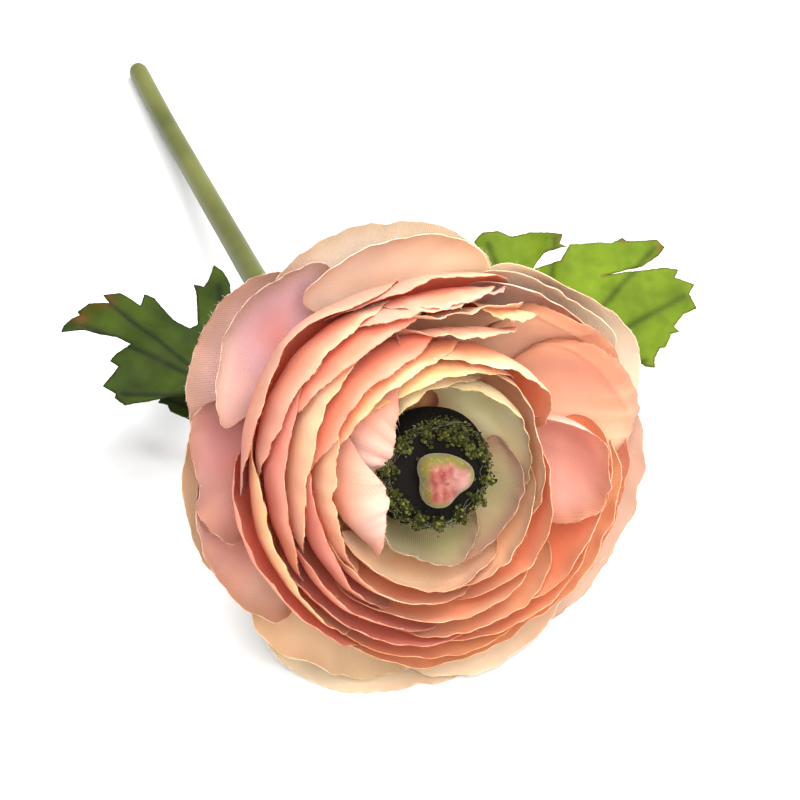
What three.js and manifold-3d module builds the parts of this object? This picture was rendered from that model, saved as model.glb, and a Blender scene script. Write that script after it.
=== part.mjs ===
// An artificial ranunculus lying on a table. Ten die-cut rounds of dyed fabric petals are threaded
// on the peg of a moulded stem, a calyx backs them, and a flocked eye with stamens and a knob
// closes the middle. Three fabric leaves are glued to petioles that branch from the stem.
// Millimetres, +Z up; the stem runs along +Y and the origin is on the flat spot the bloom rests on.
import * as THREE from 'three';
import { mergeVertices } from 'three/addons/utils/BufferGeometryUtils.js';
import Module from 'manifold-3d';

const wasm = await Module();
wasm.setup();

// ---------------------------------------------------------------- driving dimensions
const DEG = Math.PI / 180;
const FACE_TILT = 22 * DEG; // the face looks this far above the horizon, towards -Y
const BLOOM_BASE = new THREE.Vector3(0, 26.2, 31.3); // foot of the petals, on the bloom's axis
const GAP = 0.3; // clearance between pieces that touch
const PEG_RADIUS = 1.5;
const HOLE_RADIUS = PEG_RADIUS + GAP;
const TIERS = 10;
const HUB_PITCH = 1.3;
const HUB_HEIGHT = 0.95;
const HUB_RADIUS = 5.4;
const FABRIC = 0.65; // thickness of a petal or leaf blade
const ROOT_HALF_ANGLE = 21 * DEG; // half of a petal's waist at the hub
const FLOOR_LIFT = 0.25; // height of the lowest petal's middle layer where it lies on the table
const TABLE_PITCH = 0.82; // petals that lie on one another there are stacked by this

const CALYX_TOP = -1; // along the axis, 0 being the foot of the petals
const CALYX_FOOT = -9;
const NECK_RADIUS = 2.65;
const STEM_TIP_RADIUS = 2.1;
const STEM_PATH = [ // centre line from the calyx to the cut end, which lies on the table
  [0, 33.6, 28.3], [-0.4, 52, 21.6], [-0.4, 72, 16.2], [0.2, 94.5, 12], [1.1, 111, 9.3],
  [1.9, 128.5, 7], [2.6, 147, 5], [3.3, 167, 3.2], [4.2, 189, STEM_TIP_RADIUS - 0.35],
];

// ---------------------------------------------------------------- solids
/** The geometry with only its positions, shared vertices merged and faces turned outwards. */
function outward(geometry) {
  geometry.deleteAttribute('normal');
  geometry.deleteAttribute('uv');
  const merged = mergeVertices(geometry, 1e-4);
  const position = merged.getAttribute('position');
  const index = Array.from(merged.index.array);
  const corner = [0, 1, 2].map(() => new THREE.Vector3());
  const kept = [];
  let volume = 0;
  for (let i = 0; i < index.length; i += 3) {
    const [a, b, c] = index.slice(i, i + 3);
    if (a === b || b === c || c === a) continue;
    [a, b, c].forEach((vertex, j) => corner[j].fromBufferAttribute(position, vertex));
    volume += corner[0].dot(corner[1].cross(corner[2]));
    kept.push(a, b, c);
  }
  if (volume < 0) kept.reverse();
  merged.setIndex(kept);
  return merged;
}

function solid(geometry) {
  const closed = outward(geometry);
  return new wasm.Manifold(new wasm.Mesh({
    numProp: 3,
    vertProperties: new Float32Array(closed.getAttribute('position').array),
    triVerts: new Uint32Array(closed.index.array),
  }));
}

function geometryOf(manifold) {
  const mesh = manifold.getMesh();
  const geometry = new THREE.BufferGeometry();
  geometry.setAttribute('position', new THREE.BufferAttribute(mesh.vertProperties, 3));
  geometry.setIndex(new THREE.BufferAttribute(mesh.triVerts, 1));
  geometry.computeVertexNormals();
  return geometry;
}

const fuse = (solids) => solids.reduce((whole, next) => whole.add(next));

/** A closed sheet over surface(u, v), with the same triangles on both of its faces. */
function blade(surface, columns, rows, thickness) {
  const width = columns.length;
  const layer = width * rows.length;
  const positions = [];
  const index = [];
  const step = 1e-3;
  for (const side of [0.5, -0.5]) {
    for (const v of rows) {
      for (const u of columns) {
        const across = surface(u + step, v).sub(surface(u - step, v));
        const along = surface(u, v + step).sub(surface(u, v - step));
        const normal = across.cross(along).normalize();
        positions.push(...surface(u, v).addScaledVector(normal, side * thickness));
      }
    }
  }
  const quad = (a, b, c, d) => index.push(a, b, c, a, c, d);
  for (let row = 0; row < rows.length - 1; row += 1) {
    for (let column = 0; column < width - 1; column += 1) {
      const a = row * width + column;
      quad(a, a + 1, a + 1 + width, a + width);
      quad(layer + a + width, layer + a + 1 + width, layer + a + 1, layer + a);
    }
  }
  const rim = [];
  for (let i = 0; i < width - 1; i += 1) rim.push(i);
  for (let i = 0; i < rows.length - 1; i += 1) rim.push(i * width + width - 1);
  for (let i = width - 1; i > 0; i -= 1) rim.push((rows.length - 1) * width + i);
  for (let i = rows.length - 1; i > 0; i -= 1) rim.push(i * width);
  rim.forEach((a, i) => {
    const b = rim[(i + 1) % rim.length];
    index.push(a, layer + a, b, b, layer + a, layer + b);
  });
  const geometry = new THREE.BufferGeometry();
  geometry.setAttribute('position', new THREE.Float32BufferAttribute(positions, 3));
  geometry.setIndex(index);
  return geometry;
}

/** A round bar along a curve, radiusAt(t) thick, closed by a fan at each end. */
function bar(curve, radiusAt, steps, sides) {
  const frames = curve.computeFrenetFrames(steps, false);
  const positions = [];
  const index = [];
  for (let i = 0; i <= steps; i += 1) {
    const centre = curve.getPointAt(i / steps);
    for (let j = 0; j < sides; j += 1) {
      const turn = (2 * Math.PI * j) / sides;
      const spoke = frames.normals[i].clone().multiplyScalar(Math.cos(turn))
        .addScaledVector(frames.binormals[i], Math.sin(turn));
      positions.push(...spoke.multiplyScalar(radiusAt(i / steps)).add(centre));
    }
  }
  positions.push(...curve.getPointAt(0), ...curve.getPointAt(1));
  const first = (steps + 1) * sides;
  for (let j = 0; j < sides; j += 1) {
    const next = (j + 1) % sides;
    for (let i = 0; i < steps; i += 1) {
      const [a, b] = [i * sides + j, i * sides + next];
      index.push(a, b, b + sides, a, b + sides, a + sides);
    }
    index.push(first, next, j, first + 1, steps * sides + j, steps * sides + next);
  }
  const geometry = new THREE.BufferGeometry();
  geometry.setAttribute('position', new THREE.Float32BufferAttribute(positions, 3));
  geometry.setIndex(index);
  return geometry;
}

const curveThrough = (points) => new THREE.CatmullRomCurve3(
  points.map((point) => (point.isVector3 ? point : new THREE.Vector3(...point))),
);

// ---------------------------------------------------------------- the bloom's own frame
const AXIS = new THREE.Vector3(0, -Math.cos(FACE_TILT), Math.sin(FACE_TILT));
const ACROSS = new THREE.Vector3(1, 0, 0);
const UP = new THREE.Vector3(0, Math.sin(FACE_TILT), Math.cos(FACE_TILT));
const TURNED = new THREE.Matrix4() // takes a lathe, spun round its Y, onto the bloom's axis
  .makeBasis(ACROSS, AXIS, UP.clone().negate())
  .setPosition(BLOOM_BASE);

/** The point at a radius and an angle round the axis, at a height along it. */
function inBloom(radius, angle, height) {
  return BLOOM_BASE.clone()
    .addScaledVector(ACROSS, radius * Math.cos(angle))
    .addScaledVector(UP, radius * Math.sin(angle))
    .addScaledVector(AXIS, height);
}

/** A body of revolution from [radius, height] points, ripple(turn) scaling its radius. */
function turned(profile, sides, ripple = () => 1) {
  const lathe = new THREE.LatheGeometry(profile.map(([r, h]) => new THREE.Vector2(r, h)), sides);
  const position = lathe.getAttribute('position');
  for (let i = 0; i < position.count; i += 1) {
    const scale = ripple(Math.atan2(-position.getZ(i), position.getX(i)));
    position.setXYZ(i, position.getX(i) * scale, position.getY(i), position.getZ(i) * scale);
  }
  return lathe.applyMatrix4(TURNED);
}

// ---------------------------------------------------------------- petals
// A petal lies on a bowl. The bowls nest: bowl 0 is the outermost round's and bowl 1 the heart's.
// Each row gives a bowl's Bezier points from the hub to the rim, as [radius, height].
const BOWLS = [
  [[4, 0.5], [22, -1], [35, 1], [43, 9]],
  [[4, 6.35], [24, 6.35], [33, 18], [29.5, 31]],
  [[4, 12.2], [10, 12.2], [14.5, 20], [12.5, 28]],
];
// At its rim each round is gathered to these bowls, at eight places an even step apart round the
// axis. The guard rounds stand apart from the rest, and one side of the middle rounds falls open.
const GATHER = [
  [0, 0.2, 0.02, -0.02, 0.06, 0, -0.05, -0.03],
  [0.06, 0.26, 0.12, 0.09, 0.14, 0.11, 0.1, 0.07],
  [0.16, 0.33, 0.4, 0.34, 0.38, 0.41, 0.34, 0.2],
  [0.24, 0.42, 0.485, 0.44, 0.465, 0.48, 0.43, 0.32],
  [0.32, 0.51, 0.56, 0.52, 0.55, 0.55, 0.52, 0.44],
  [0.4, 0.59, 0.64, 0.62, 0.64, 0.62, 0.61, 0.55],
  [0.5, 0.69, 0.71, 0.7, 0.72, 0.7, 0.69, 0.68],
  [0.84, 0.77, 0.77, 0.78, 0.79, 0.78, 0.76, 0.78],
  [0.9, 0.85, 0.84, 0.86, 0.87, 0.86, 0.84, 0.86],
  [0.96, 0.93, 0.92, 0.99, 1.03, 0.99, 0.93, 0.94],
];
const LAP = 0.25; // a petal's side edges leave its bowl by this share of the room to the next round
const CUP = 0.08; // and both of them curl inwards by this share
const SHOULDER = 0.62; // length of a petal's side edges, as a share of its middle

// Every petal is [angle, half angle, reach], in degrees and as a share of the bowl's depth. Some
// have a fourth figure: cup for a spoon-shaped petal, or over for one that leans over the eye.
const ROUNDS = [
  [[88, 36, 0.88], [139, 30, 0.9], [-172, 30, 0.89], [-105, 35, 1.1], [-43, 32, 1.14], [18, 38, 1.1]],
  [[85, 30, 0.92], [130, 28, 0.98], [172, 21, 0.93], [-164, 26, 0.98], [-122, 30, 1.02], [-76, 28, 1.1],
    [-27, 31, 1.12], [30, 30, 1.02]],
  [[36, 30, 1.02], [82, 32, 0.94], [132, 44, 1], [-156, 40, 1], [-92, 42, 0.98], [-31, 38, 1]],
  [[87, 29, 1], [131, 38, 1], [-164, 40, 1.02], [-98, 42, 0.98], [-43, 38, 1], [18, 35, 1]],
  [[76, 31, 1], [116, 34, 1], [167, 42, 1], [-122, 42, 1], [-64, 40, 0.99], [-10, 38, 1], [38, 28, 0.98]],
  [[12, 33, 1.06, { cup: 0.2 }], [77, 44, 0.98], [152, 48, 1], [-134, 40, 1], [-83, 40, 0.98], [-38, 38, 1]],
  [[-10, 26, 1.03, { cup: 0.4 }], [58, 42, 0.98], [124, 46, 1], [-164, 48, 1], [-96, 46, 1]],
  [[55, 50, 0.98], [115, 46, 1], [176, 46, 1.01], [-124, 46, 1], [-48, 50, 0.98]],
  [[6, 56, 1], [84, 48, 1], [137, 42, 1.04, { over: 0.06 }], [-172, 44, 1.05, { over: 0.06 }],
    [-104, 50, 1], [-58, 50, 1]],
  [[28, 60, 1], [104, 54, 0.98], [176, 50, 0.84], [-108, 54, 1], [-44, 50, 0.96]],
];
const DYES = [
  0xdc9c86, 0xe6ac90, 0xec9f80, 0xf0a07e, 0xee9b78, 0xeba582, 0xe9a988, 0xe5b08c, 0xdcc096, 0xcfc592,
];

const spread = (count) => Array.from({ length: count + 1 }, (_, i) => i / count);
const eased = (x) => {
  const t = Math.min(Math.max(x, 0), 1);
  return t * t * (3 - 2 * t);
};

/** Radius and height at share s of the depth of the bowl numbered from 0 to 1. */
function onBowl(bowl, s) {
  const blend = [(2 * bowl - 1) * (bowl - 1), 4 * bowl * (1 - bowl), bowl * (2 * bowl - 1)];
  const weight = [(1 - s) ** 3, 3 * s * (1 - s) ** 2, 3 * s * s * (1 - s), s ** 3];
  const sum = (axis) => BOWLS.reduce((total, points, i) => (
    total + blend[i] * points.reduce((part, point, j) => part + weight[j] * point[axis], 0)
  ), 0);
  return [sum(0), sum(1)];
}

/** The bowl that a round follows at an angle and depth. */
function bowlOf(round, angle, s) {
  const place = (angle * 8) / (2 * Math.PI);
  const before = Math.floor(place);
  const gatherAt = (i) => GATHER[round][((i % 8) + 8) % 8];
  const gathered = gatherAt(before) + (gatherAt(before + 1) - gatherAt(before)) * eased(place - before);
  const start = round / (TIERS - 1);
  return start + (gathered - start) * eased(s / 0.7);
}

/** Where a point would sink into what it lies on it rests there instead, pushed out to the front. */
function restOn(floor, point) {
  const above = point.z - floor;
  const softness = 0.5;
  const lifted = softness * Math.log1p(Math.exp(above / softness));
  point.z = floor + lifted;
  point.y -= lifted - above;
  return point;
}

/** A petal's middle layer: u from -1 to 1 across it and v from 0 at the hub to 1 at the rim. */
function petalSurface(round, [angle, halfAngle, reach, { cup = CUP, over = 0 } = {}]) {
  return (u, v) => {
    const rim = SHOULDER + (1 - SHOULDER) * Math.max(1 - Math.abs(u) ** 2.6, 0) ** 0.45;
    const s = v * reach * rim;
    const flare = ROOT_HALF_ANGLE + (halfAngle * DEG - ROOT_HALF_ANGLE) * eased((s - 0.25) / 0.4);
    const turn = angle * DEG + flare * u;
    const bowl = bowlOf(round, turn, s);
    const above = round < TIERS - 1 ? bowlOf(round + 1, turn, s) - bowl : 0.1;
    const below = round > 0 ? bowl - bowlOf(round - 1, turn, s) : 0.1;
    const share = u * LAP + cup * Math.abs(u) ** 2.4 * v;
    const lapped = bowl + share * (share > 0 ? above : below) * (0.15 + 0.85 * eased(s / 0.5));
    const [radius, height] = onBowl(lapped + over * v ** 4, s);
    const floor = FLOOR_LIFT + TABLE_PITCH * (2 * round + Math.max(u, 0) ** 4);
    return restOn(floor, inBloom(radius, turn, height));
  };
}

function petalRound(round) {
  const foot = round * HUB_PITCH;
  const hub = solid(turned([
    [HOLE_RADIUS, foot], [HUB_RADIUS, foot], [HUB_RADIUS, foot + HUB_HEIGHT],
    [HOLE_RADIUS, foot + HUB_HEIGHT], [HOLE_RADIUS, foot],
  ], 12));
  const fine = round > 1 && round < 8; // the petals seen most have finer columns
  const columns = spread(fine ? 8 : 6).map((t) => Math.sin((t - 0.5) * Math.PI));
  const rows = spread(5);
  const petals = ROUNDS[round].map((petal) => (
    solid(blade(petalSurface(round, petal), columns, rows, FABRIC))
  ));
  return fuse([hub, ...petals]);
}

/** The half space under the table's top, as a block that trims what lies on it. */
function underTable() {
  return solid(new THREE.BoxGeometry(200, 200, 20).translate(0, 0, -10));
}

// ---------------------------------------------------------------- stem, with its petioles and peg
// Leaf blades are flat near their base; each has a base point, the way it runs and the way it faces.
const LEAVES = {
  leaf_left: {
    base: [-17.4, 56.1, 18], along: [-0.408, 0.865, 0.292], facing: [0.151, -0.252, 0.956],
    curl: 0.0022, colour: 0x41530f, branch: 0.1, neck: [2, 0.6], heading: 8,
    outline: [
      [-1.5, -1.2], [-1.5, 1.4], [4.9, 3.3], [6.3, 5.9], [8.5, 9.4], [9.6, 12.8], [11.7, 17.2],
      [14.1, 17.5], [14.7, 16.7], [17.4, 17.4], [18.2, 14.5], [19.1, 11.9], [21, 12.2], [21.6, 10.6],
      [21.6, 6.6], [24.4, 7.3], [29.4, 11.1], [31.7, 14.8], [32.5, 13.5], [33.1, 11], [32.8, 9],
      [33.8, 8.7], [33.8, 5.9], [30.9, 3.4], [33.5, 2.6], [32.1, -0.4], [27.4, -1.2], [29.1, -3.8],
      [27.2, -4.7], [20.7, -4], [17.7, -4.9], [17.4, -6.6], [23.6, -12.3], [25.5, -13.5],
      [23.9, -14.5], [24.5, -16.3], [26.7, -20], [24.6, -20.4], [21.4, -19], [18.1, -16], [10, -9],
      [4, -3],
    ],
  },
  leaf_right: {
    base: [44.4, 42.1, 28], along: [0.983, -0.165, 0.076], facing: [-0.15, -0.501, 0.852],
    curl: 0.0024, colour: 0x8a9b33, branch: 0.06, neck: [-8.5, -8.5], heading: 45,
    outline: [
      [-11.5, -10.6], [-7, -12], [0, -10.2], [8.1, -11.6], [7.9, -8.6], [4.6, -2.2], [7.2, -5.5],
      [10.7, -10.4], [12.5, -11], [12.8, -9.7], [14.3, -7.6], [15.7, -7.3], [17.3, -5.1],
      [18.9, -5], [18.2, -3.9], [20.4, -2], [23.3, -1.2], [22.6, 1.8], [24.2, 3.5], [20.9, 5.6],
      [22, 7], [19.4, 7.9], [7.4, 8.4], [15.1, 8.9], [19.1, 10.6], [20.6, 11.9], [19.5, 13.8],
      [13.9, 14.5], [13.1, 15.3], [10.8, 14.6], [8.7, 15.2], [3, 15.8], [0.4, 12.9], [-5, 12.5],
      [-2, 15.1], [2.4, 15.5], [1.2, 16.2], [2.2, 18], [-0.5, 19], [-3.7, 19.9], [-7.2, 19.8],
      [-9.2, 21.2], [-12.4, 21.5], [-14.4, 20.1], [-14.2, 18], [-12, 10], [-10, 2], [-11, -5],
    ],
  },
  leaf_small: {
    base: [-19, 64.8, 8], along: [-0.618, 0.777, 0.119], facing: [0, -0.151, 0.988],
    curl: 0, colour: 0x4a6118, branch: 0.16, neck: [0.8, 0.8], heading: 10,
    outline: [
      [-1.2, -0.5], [-1.2, 1.8], [2.5, 3.4], [7.8, 3.6], [9, 2.6], [10.8, 3.1], [11, 1.5],
      [9.3, -0.5], [8.5, -1.6], [6.7, -1.6], [5.2, -0.4], [2, -0.8],
    ],
  },
};

function leafFrame({ base, along, facing }) {
  const normal = new THREE.Vector3(...facing).normalize();
  const forward = new THREE.Vector3(...along);
  forward.addScaledVector(normal, -forward.dot(normal)).normalize();
  const sideways = normal.clone().cross(forward);
  return new THREE.Matrix4().makeBasis(forward, sideways, normal).setPosition(...base);
}

/** A leaf blade: its outline cut from a sheet that droops away from the neck. */
function leafBlade(leaf) {
  const outline = new THREE.Shape(leaf.outline.map(([x, y]) => new THREE.Vector2(x, y)));
  const cutter = new THREE.ExtrudeGeometry(outline, { depth: 40, bevelEnabled: false, steps: 1 });
  const sheet = new THREE.BoxGeometry(76, 76, FABRIC, 12, 12, 1);
  const position = sheet.getAttribute('position');
  for (let i = 0; i < position.count; i += 1) {
    const away = Math.hypot(position.getX(i) - leaf.neck[0], position.getY(i) - leaf.neck[1]);
    const droop = leaf.curl * Math.max(away - 8, 0) ** 2;
    position.setZ(i, position.getZ(i) - droop);
  }
  const cut = solid(cutter.translate(0, 0, -20)).intersect(solid(sheet));
  return geometryOf(cut).applyMatrix4(leafFrame(leaf));
}

function stemSolid() {
  const path = curveThrough([inBloom(0, 0, CALYX_TOP - 1), ...STEM_PATH]);
  const tipRound = 0.012;
  const radiusAt = (t) => {
    const body = NECK_RADIUS + (STEM_TIP_RADIUS - NECK_RADIUS) * t;
    const end = Math.max(t - 1 + tipRound, 0) / tipRound;
    return body * Math.sqrt(1 - 0.75 * end * end);
  };
  const parts = [solid(bar(path, radiusAt, 28, 10))];
  const pegTop = (TIERS - 1) * HUB_PITCH + HUB_HEIGHT;
  parts.push(solid(turned([
    [0, CALYX_TOP - 3], [PEG_RADIUS, CALYX_TOP - 3], [PEG_RADIUS, pegTop], [0, pegTop],
  ], 12)));
  for (const leaf of Object.values(LEAVES)) {
    const frame = leafFrame(leaf);
    const radius = 0.9;
    const below = -(FABRIC / 2 + GAP + radius);
    const heading = leaf.heading * DEG;
    const [lead, seat, end] = [[-9, below + 2], [-4.5, below], [1, below]].map(([back, height]) => (
      new THREE.Vector3(
        leaf.neck[0] + back * Math.cos(heading), leaf.neck[1] + back * Math.sin(heading), height,
      ).applyMatrix4(frame)
    ));
    const petiole = curveThrough([path.getPointAt(leaf.branch), lead, seat, end]);
    parts.push(solid(bar(petiole, (t) => radius + 0.5 * (1 - t) ** 2, 8, 8)));
  }
  return fuse(parts);
}

// ---------------------------------------------------------------- calyx
function calyxSolid() {
  const inner = NECK_RADIUS + GAP;
  const cup = solid(turned([
    [inner, CALYX_FOOT], [inner + 0.9, CALYX_FOOT], [inner + 1.8, -4.5], [6.6, CALYX_TOP - 0.6],
    [6.6, CALYX_TOP], [inner, CALYX_TOP], [inner, CALYX_FOOT],
  ], 16));
  const sepals = [0, 1, 2, 3, 4].map((i) => {
    const turn = (i * 72 + 18) * DEG;
    const sepal = (u, v) => {
      const radius = 5 + 9 * v;
      const half = 3.1 * Math.sqrt(Math.max(1 - 0.9 * v * v, 0)) / radius;
      return inBloom(radius, turn + half * u, CALYX_TOP - 0.45 - 1.5 * v * v);
    };
    return solid(blade(sepal, [-1, 0, 1], spread(4), 0.7));
  });
  return fuse([cup, ...sepals]);
}

// ---------------------------------------------------------------- eye, stamens and knob
const EYE_FOOT = (TIERS - 1) * HUB_PITCH + HUB_HEIGHT + GAP;
const EYE_TOP = 24.8;
const EYE_RADIUS = 10.5;
const PAD_HEIGHT = 0.7;
const PAD_RADIUS = 9.6;
const KNOB_RADIUS = 4.6;
const KNOB_HEIGHT = 4.6;

function eyeGeometry() {
  return outward(turned([
    [0, EYE_FOOT], [4.4, EYE_FOOT], [7.5, 15.6], [9.6, 18.6], [EYE_RADIUS, 21.6],
    [EYE_RADIUS - 0.3, 23.6], [PAD_RADIUS, EYE_TOP], [0, EYE_TOP],
  ], 24));
}

/** A mossy pad with stubby anthers in two rings round the knob. */
function stamensSolid() {
  const foot = EYE_TOP + GAP;
  const pad = solid(turned([
    [0, foot], [PAD_RADIUS - 0.4, foot], [PAD_RADIUS, foot + 0.4], [PAD_RADIUS - 0.3, foot + PAD_HEIGHT],
    [0, foot + PAD_HEIGHT],
  ], 24));
  const lumps = [];
  const rings = [
    { radius: 8.4, count: 14, size: 1.35 },
    { radius: 6, count: 9, size: 0.8 },
  ];
  for (const { radius, count, size } of rings) {
    for (let i = 0; i < count; i += 1) {
      const uneven = Math.sin(i * 2.4);
      const centre = inBloom(radius + 0.3 * uneven, (2 * Math.PI * (i + 0.15 * uneven)) / count,
        foot + size + 0.25 + 0.1 * uneven);
      const lump = new THREE.SphereGeometry(size, 5, 4);
      lump.rotateX(Math.PI / 2 - FACE_TILT).translate(centre.x, centre.y, centre.z);
      lumps.push(solid(lump));
    }
  }
  return fuse([pad, ...lumps]);
}

function knobGeometry() {
  const foot = EYE_TOP + GAP + PAD_HEIGHT + GAP;
  const profile = [
    [0, 0], [0.72, 0], [0.96, 0.25], [1, 0.5], [0.88, 0.8], [0.6, 0.98], [0.25, 0.95], [0, 0.88],
  ];
  return outward(turned(
    profile.map(([r, h]) => [r * KNOB_RADIUS, foot + h * KNOB_HEIGHT]), 24,
    (turn) => 1 + 0.12 * Math.cos(3 * turn) + 0.06 * Math.cos(turn),
  ));
}

// ---------------------------------------------------------------- the assembled flower
const flower = new THREE.Group();

function addPiece(name, geometry, color, roughness) {
  const mesh = new THREE.Mesh(geometry, new THREE.MeshStandardMaterial({ color, roughness, metalness: 0 }));
  mesh.name = name;
  flower.add(mesh);
}

addPiece('stem', geometryOf(stemSolid()), 0x8b8a5d, 0.55);
addPiece('calyx', geometryOf(calyxSolid()), 0x7f8f4a, 0.6);
for (let round = 0; round < TIERS; round += 1) {
  const petals = petalRound(round);
  const trimmed = round === 0 ? petals.subtract(underTable()) : petals;
  addPiece(`petal_round_${String(round + 1).padStart(2, '0')}`, geometryOf(trimmed), DYES[round], 0.85);
}
addPiece('eye', eyeGeometry(), 0x0c0604, 0.95);
addPiece('stamens', geometryOf(stamensSolid()), 0x4f5524, 0.95);
addPiece('knob', knobGeometry(), 0xc8786e, 0.8);
for (const [name, leaf] of Object.entries(LEAVES)) addPiece(name, leafBlade(leaf), leaf.colour, 0.8);

export default flower;
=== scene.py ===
import math

import bpy
import numpy as np
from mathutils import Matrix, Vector
from mathutils.geometry import delaunay_2d_cdt


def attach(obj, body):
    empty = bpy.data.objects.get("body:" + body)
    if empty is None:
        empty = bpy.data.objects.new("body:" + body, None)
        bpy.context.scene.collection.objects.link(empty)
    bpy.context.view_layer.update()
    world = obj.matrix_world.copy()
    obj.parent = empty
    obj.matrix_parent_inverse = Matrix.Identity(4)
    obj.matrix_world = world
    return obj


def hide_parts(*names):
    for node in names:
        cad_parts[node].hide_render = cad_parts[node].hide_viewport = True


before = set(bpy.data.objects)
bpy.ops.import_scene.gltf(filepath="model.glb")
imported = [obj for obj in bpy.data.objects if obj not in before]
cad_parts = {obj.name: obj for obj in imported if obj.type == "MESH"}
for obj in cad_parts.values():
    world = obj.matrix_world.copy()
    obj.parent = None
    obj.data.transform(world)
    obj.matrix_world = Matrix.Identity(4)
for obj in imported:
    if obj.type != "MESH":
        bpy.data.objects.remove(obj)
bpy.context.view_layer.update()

# ---------------- camera and studio
# The view looks down on the bloom from its left with a long lens. One soft box hangs high over the
# far right of the table, a wider one stands by the camera, and white walls fill the shadows.
MM = 0.001
VIEW_AZIMUTH = math.radians(-22)
VIEW_ELEVATION = math.radians(42)
VIEW_DISTANCE = 420 * MM
VIEW_AIM = Vector((-0.6, 17.0, 45.5)) * MM
LENS = 112.455

view_right = Vector((math.cos(VIEW_AZIMUTH), math.sin(VIEW_AZIMUTH), 0))
view_away = Vector((-math.sin(VIEW_AZIMUTH), math.cos(VIEW_AZIMUTH), 0))
view_up = Vector((0, 0, 1))
toward_camera = view_up * math.sin(VIEW_ELEVATION) - view_away * math.cos(VIEW_ELEVATION)


def put(name, data):
    """Links a new object at the origin."""
    made = bpy.data.objects.new(name, data)
    bpy.context.collection.objects.link(made)
    return made


camera = put("camera", bpy.data.cameras.new("camera"))
camera.data.lens = LENS
camera.data.clip_start = 0.01
camera.location = VIEW_AIM + toward_camera * VIEW_DISTANCE
camera.rotation_euler = (-toward_camera).to_track_quat("-Z", "Y").to_euler()
bpy.context.scene.camera = camera


def soft_box(name, away, size, watts):
    """A square light at a distance from the point that the camera aims at, turned towards it."""
    lamp = put(name, bpy.data.lights.new(name, "AREA"))
    lamp.data.size = size
    lamp.data.energy = watts
    lamp.location = VIEW_AIM + away
    lamp.rotation_euler = (-away).to_track_quat("-Z", "Y").to_euler()


soft_box("top_light", view_right * 0.45 + view_away * 0.35 + view_up * 0.9, size=0.6, watts=16)
soft_box("front_light", toward_camera * 0.8 + view_right * 0.15 + view_up * 0.3, size=0.9, watts=24)

studio = bpy.data.worlds.new("white_studio")
studio.use_nodes = True
walls = studio.node_tree.nodes["Background"].inputs
walls["Color"].default_value = (1, 1, 1, 1)
walls["Strength"].default_value = 0.6
bpy.context.scene.world = studio
bpy.context.scene.view_settings.view_transform = "Standard"


class Wire:
    """A shader socket that arithmetic can be written on; every operator adds a Math node."""

    def __init__(self, tree, socket=None):
        self.tree = tree
        self.socket = socket

    def feed(self, target, value):
        if isinstance(value, Wire):
            self.tree.links.new(value.socket, target)
        else:
            target.default_value = value

    def node(self, kind, inputs=None, output=0, **settings):
        """Adds a node: first its settings, then its sockets; returns one of its outputs."""
        made = self.tree.nodes.new("ShaderNode" + kind)
        for key, value in settings.items():
            setattr(made, key, value)
        for key, value in (inputs or {}).items():
            self.feed(made.inputs[key], value)
        return Wire(self.tree, made.outputs[output])

    def math(self, operation, first, second=0.0):
        return self.node("Math", {0: first, 1: second}, operation=operation)

    def mix(self, share, first, second, blend="MIX"):
        """Blends two colours by a share."""
        colours = {0: share, 6: first, 7: second}
        return self.node("Mix", colours, output=2, data_type="RGBA", blend_type=blend)

    def ease(self, low, high):
        """Runs smoothly from 0 at low to 1 at high."""
        return self.node("MapRange", {0: self, 1: low, 2: high}, interpolation_type="SMOOTHSTEP")

    def noise(self, scale, detail):
        """Fractal noise on this vector, from 0 to 1."""
        return self.node("TexNoise", {"Vector": self, "Scale": scale, "Detail": detail})

    def __add__(self, other):
        return self.math("ADD", self, other)

    def __rsub__(self, other):
        return self.math("SUBTRACT", other, self)

    def __mul__(self, other):
        return self.math("MULTIPLY", self, other)


def start_material(name):
    """A new node material and the wire its shader maths starts from."""
    material = bpy.data.materials.new(name)
    material.use_nodes = True
    material.node_tree.nodes.clear()
    return material, Wire(material.node_tree)


def close_material(wire, color, roughness, bump=None, through=0.0, glow="ffffff", **constants):
    """Ends a material in a Principled shader; constants are set on the shader's own sockets. The
    bump is a wire, its strength and its height in mm; a share of the light passes through."""
    shader = wire.tree.nodes.new("ShaderNodeBsdfPrincipled")
    for key, value in constants.items():
        shader.inputs[key.replace("_", " ")].default_value = value
    wire.feed(shader.inputs["Base Color"], color)
    wire.feed(shader.inputs["Roughness"], roughness)
    if bump:
        height, strength, deep = bump
        relief = wire.node("Bump", {"Height": height, "Strength": strength, "Distance": deep * MM})
        wire.feed(shader.inputs["Normal"], relief)
    output = wire.tree.nodes.new("ShaderNodeOutputMaterial")
    surface = shader.outputs[0]
    if through:
        cloth = wire.tree.nodes.new("ShaderNodeBsdfTranslucent")
        cloth.inputs["Color"].default_value = paint(glow)
        blend = wire.tree.nodes.new("ShaderNodeMixShader")
        blend.inputs["Fac"].default_value = through
        wire.tree.links.new(surface, blend.inputs[1])
        wire.tree.links.new(cloth.outputs[0], blend.inputs[2])
        surface = blend.outputs[0]
    wire.tree.links.new(surface, output.inputs["Surface"])


def dyed(code):
    """The linear colour of an sRGB code such as 'ecc3a2'."""
    value = np.array([int(code[i : i + 2], 16) for i in (0, 2, 4)]) / 255
    return np.where(value <= 0.04045, value / 12.92, ((value + 0.055) / 1.055) ** 2.4)


def paint(code):
    """The same as a shader's colour."""
    return (*dyed(code), 1)


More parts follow.
